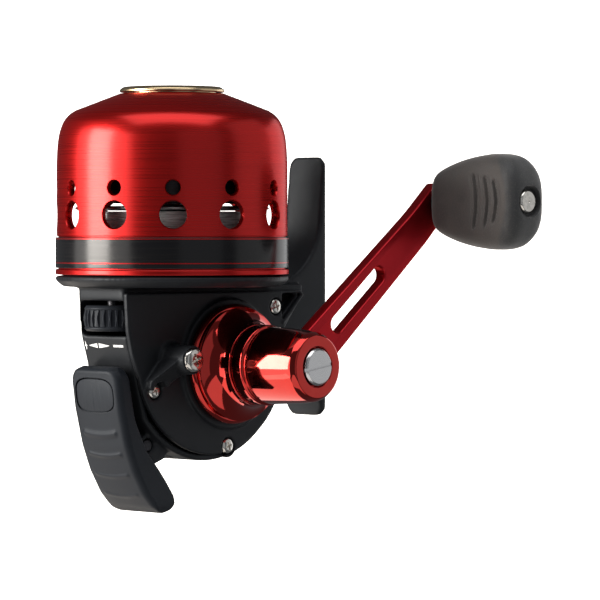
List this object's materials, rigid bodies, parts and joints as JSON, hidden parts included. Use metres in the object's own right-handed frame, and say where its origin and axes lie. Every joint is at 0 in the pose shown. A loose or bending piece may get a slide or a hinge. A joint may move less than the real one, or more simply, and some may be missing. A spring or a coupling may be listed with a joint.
{
  "type": "spincast fishing reel",
  "caption": "Closed-face spincast fishing reel with a ported round front cover, a side crank with a paddle knob, a rocker thumb lever and a flat rod foot.",
  "frame": {"origin": "middle of the flat underside of the rod foot", "axes": "+X forward to the nose cone, +Z away from the rod, the crank on the -Y side"},
  "size_m": [0.1058, 0.0954, 0.0953],
  "materials": {
    "black_plastic": "satin charcoal",
    "black_gloss": "gloss",
    "red_anodised": "turned and anodised",
    "red_chrome": "mirror red",
    "gold": "champagne satin",
    "steel": "turned",
    "aluminium": "satin",
    "brass": "machined",
    "soft_rubber": "soft matte",
    "black_rubber": "matte",
    "fishing_line": "wound nylon line",
    "white_nylon": "plain"
  },
  "bodies": {
    "frame": {"frame_body": "black_plastic", "side_plate": "black_plastic", "plate_screw_front": "steel", "plate_screw_rear": "steel", "plate_screw_top": "steel", "post_screw": "steel", "front_cover": "red_anodised", "cover_band": "black_gloss", "nozzle_ring": "gold", "crank_flange": "red_chrome", "crank_bushing_outer": "brass", "crank_bushing_inner": "brass", "pinion_bushing_rear": "brass", "pinion_bushing_front": "brass", "drag_plate": "steel", "spool_clip": "steel", "lever_pin": "steel", "pawl_pin": "steel", "return_spring": "steel"},
    "spool_body": {"spool": "aluminium", "line_winding": "fishing_line", "drag_washer": "white_nylon"},
    "drag_body": {"drag_wheel": "black_plastic", "drag_screw": "steel"},
    "crank": {"crank_shaft": "steel", "drive_gear": "brass", "gear_clip": "steel", "ratchet_wheel": "steel", "crank_hub": "red_chrome", "crank_arm": "red_anodised", "handle_screw": "steel", "knob_pin": "steel", "knob_spacer": "black_plastic"},
    "knob_body": {"knob": "soft_rubber"},
    "pinion": {"pinion_gear": "brass"},
    "shaft_slide_body": {"thrust_cap": "white_nylon"},
    "spinner": {"centre_shaft": "steel", "spinner_head": "aluminium", "spinner_nut": "brass", "rim_ring": "black_rubber"},
    "pin_near": {"pickup_pin_near": "steel"},
    "pin_far": {"pickup_pin_far": "steel"},
    "lever": {"thumb_lever": "black_plastic", "lever_pad": "black_plastic"},
    "pawl": {"anti_reverse_pawl": "steel"}
  },
  "joints": [
    {"name": "crank_spin", "type": "hinge", "parent": "frame", "child": "crank", "pos_m": [-0.0189, -0.02, 0.0393], "axis": [0, -1, 0], "continuous": true},
    {"name": "knob_spin", "type": "hinge", "parent": "crank", "child": "knob_body", "pos_m": [0.02158, -0.05, -0.01104], "axis": [0, -1, 0], "continuous": true},
    {"name": "pinion_spin", "type": "hinge", "parent": "frame", "child": "pinion", "pos_m": [-0.0065, 0, 0.0488], "axis": [1, 0, 0], "continuous": true},
    {"name": "thumb_rock", "type": "hinge", "parent": "frame", "child": "lever", "pos_m": [-0.0385, 0, 0.0633], "axis": [0, -1, 0], "range_deg": [0, 13], "stiffness_Nm_per_rad": 0.35, "springref_deg": -20.05},
    {"name": "shaft_push", "type": "slide", "parent": "frame", "child": "shaft_slide_body", "axis": [1, 0, 0], "range_m": [0, 0.0037], "deforming": ["return_spring"]},
    {"name": "spinner_spin", "type": "hinge", "parent": "shaft_slide_body", "child": "spinner", "pos_m": [0.03, 0, 0.0488], "axis": [1, 0, 0], "continuous": true},
    {"name": "pin_near_slide", "type": "slide", "parent": "spinner", "child": "pin_near", "axis": [0, 1, 0], "range_m": [0, 0.0015]},
    {"name": "pin_far_slide", "type": "slide", "parent": "spinner", "child": "pin_far", "axis": [0, -1, 0], "range_m": [0, 0.0015]},
    {"name": "spool_slip", "type": "hinge", "parent": "frame", "child": "spool_body", "pos_m": [0.013, 0, 0.0488], "axis": [1, 0, 0], "continuous": true},
    {"name": "drag_turn", "type": "hinge", "parent": "frame", "child": "drag_body", "pos_m": [-0.007, 0, 0.0686], "axis": [1, 0, 0], "range_deg": [-160, 160]},
    {"name": "pawl_swing", "type": "hinge", "parent": "frame", "child": "pawl", "pos_m": [-0.0306, 0.0026, 0.0332], "axis": [0, -1, 0], "range_deg": [-11, 0]}
  ],
  "couplings": [
    {"joint": "pinion_spin", "follows": "crank_spin", "ratio": -4.1111},
    {"joint": "spinner_spin", "follows": "crank_spin", "ratio": -4.1111},
    {"joint": "shaft_push", "follows": "thumb_rock", "m_per_rad": 0.01495},
    {"joint": "pin_near_slide", "follows": "thumb_rock", "m_per_rad": 0.00617},
    {"joint": "pin_far_slide", "follows": "thumb_rock", "m_per_rad": 0.00617}
  ]
}
